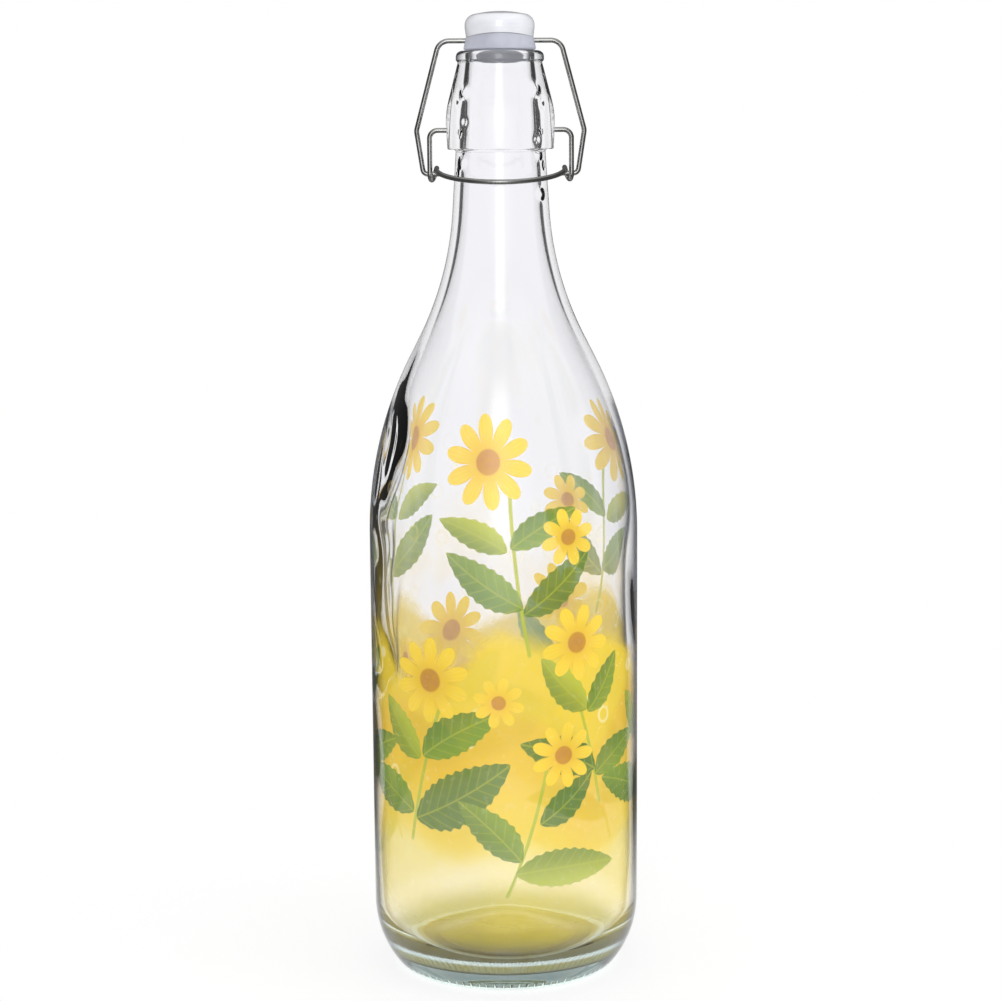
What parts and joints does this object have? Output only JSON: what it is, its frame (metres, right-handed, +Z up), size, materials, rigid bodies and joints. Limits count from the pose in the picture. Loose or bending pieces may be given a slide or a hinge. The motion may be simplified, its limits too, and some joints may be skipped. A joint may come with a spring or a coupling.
{
  "type": "swing top bottle",
  "caption": "Tall clear glass bottle with a printed film and a wire swing top closure: lever, bail and stopper with seal.",
  "frame": {"origin": "centre of the bearing ring, on the table", "axes": "+Z up along the bottle's axis, -Y towards the lever's ring, X along the closure's pivots"},
  "size_m": [0.0884, 0.0884, 0.3134],
  "materials": {
    "clear_glass": "clear moulded glass, glossy",
    "print": "thin translucent print fired onto the glass",
    "white_cap": "moulded white, softly glossy",
    "soft_seal": "translucent lilac grey, satin",
    "steel_wire": "drawn bright steel wire"
  },
  "bodies": {
    "bottle": {"glass_bottle": "clear_glass", "printed_film": "print"},
    "lever": {"lever_wire": "steel_wire"},
    "bail": {"bail_wire": "steel_wire"},
    "stopper": {"stopper_cap": "white_cap", "stopper_seal": "soft_seal"}
  },
  "joints": [
    {"name": "lever_swing", "type": "hinge", "parent": "bottle", "child": "lever", "pos_m": [0, 0, 0.276], "axis": [-1, 0, 0], "range_deg": [0, 90]},
    {"name": "bail_swing", "type": "hinge", "parent": "lever", "child": "bail", "pos_m": [0, 0.0019, 0.2621], "axis": [-1, 0, 0], "range_deg": [-62, 0]},
    {"name": "stopper_tilt", "type": "hinge", "parent": "bail", "child": "stopper", "pos_m": [0, 0, 0.3042], "axis": [-1, 0, 0], "range_deg": [-30, 0]}
  ],
  "couplings": [
    {"joint": "bail_swing", "follows": "lever_swing", "ratio": -0.68},
    {"joint": "stopper_tilt", "follows": "lever_swing", "ratio": -0.32}
  ]
}
